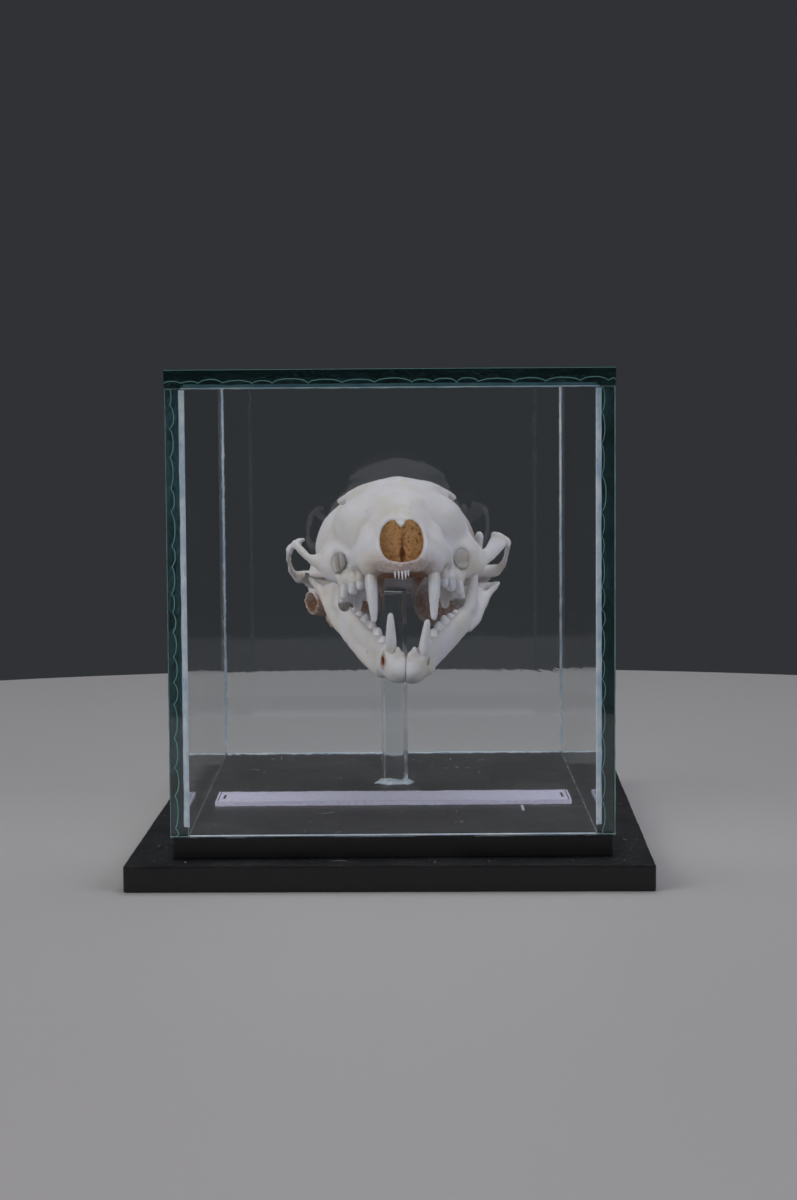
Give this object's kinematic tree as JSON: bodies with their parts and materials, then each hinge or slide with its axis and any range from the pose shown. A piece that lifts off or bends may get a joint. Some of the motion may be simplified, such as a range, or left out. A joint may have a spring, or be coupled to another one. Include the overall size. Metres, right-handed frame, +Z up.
{
  "type": "stoat skull mounted on a rod in a glass case",
  "caption": "Life-size stoat skull with its jaw open, held up on a clear rod inside a small glued glass case on a black base plate.",
  "frame": {"origin": "centre of the base plate's underside, where it rests on a shelf", "axes": "+Z up, the skull and the case's front pane face -Y, +X is the skull's left"},
  "size_m": [0.0606, 0.0802, 0.0577],
  "materials": {
    "bone": null,
    "case_glass": "clear float glass with green cut edges",
    "clear_acrylic": "clear cast acrylic bar, faintly scuffed",
    "glue": "milky set glue",
    "black_plastic": "matt black, dusty",
    "label_paper": "white card strip with a thin black border"
  },
  "bodies": {
    "root": {"base_plate": "black_plastic", "plinth": "black_plastic", "case_front": "case_glass", "case_back": "case_glass", "case_left": "case_glass", "case_right": "case_glass", "case_top": "case_glass", "bead_front_left": "glue", "bead_front_right": "glue", "bead_back_left": "glue", "bead_back_right": "glue", "bead_floor_front": "glue", "bead_floor_back": "glue", "rod_foot": "glue", "mounting_rod": "clear_acrylic", "label": "label_paper", "cranium": "bone", "mandible_left": "bone", "mandible_right": "bone"}
  },
  "joints": []
}
